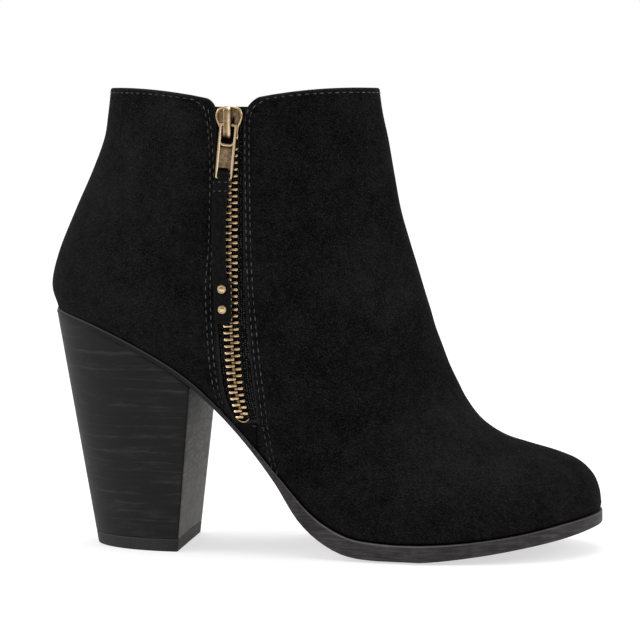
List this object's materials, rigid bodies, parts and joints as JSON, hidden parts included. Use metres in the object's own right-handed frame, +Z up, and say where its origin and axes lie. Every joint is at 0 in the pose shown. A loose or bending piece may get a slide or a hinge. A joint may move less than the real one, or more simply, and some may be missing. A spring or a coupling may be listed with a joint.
{
  "type": "ankle boot",
  "caption": "Right ankle boot with a tall block heel, hollow suede upper, round toe with spring, and an outer side zip with a brass pull that swings and carries a riveted leather strap.",
  "frame": {"origin": "On the floor, under the middle of the boot's bounding box", "axes": "+X towards the toe, +Y towards the inner side of the foot, +Z up; the zip is on the outer side, -Y"},
  "size_m": [0.2174, 0.081, 0.18],
  "materials": {
    "black_suede": "napped black suede",
    "sole_edge": "dark grey sole with a smooth edge",
    "stacked_heel": "black heel with a stacked leather look",
    "top_lift_rubber": "black rubber",
    "insole_lining": "dark lining leather",
    "zip_tape_cloth": "black woven tape",
    "aged_brass": "aged brass",
    "strap_leather": "black leather"
  },
  "bodies": {
    "boot": {"upper": "black_suede", "outsole": "sole_edge", "heel": "stacked_heel", "top_lift": "top_lift_rubber", "insole": "insole_lining", "zip_tape": "zip_tape_cloth", "zip_chain": "aged_brass", "zip_stop": "aged_brass", "zip_slider": "aged_brass"},
    "pull": {"zip_pull": "aged_brass", "pull_strap": "strap_leather", "rivet_upper": "aged_brass", "rivet_lower": "aged_brass"}
  },
  "joints": [
    {"name": "pull_swing", "type": "hinge", "parent": "boot", "child": "pull", "pos_m": [-0.03272, -0.03116, 0.1656], "axis": [-0.9952, 0, 0.0976], "range_deg": [0, 150]}
  ]
}
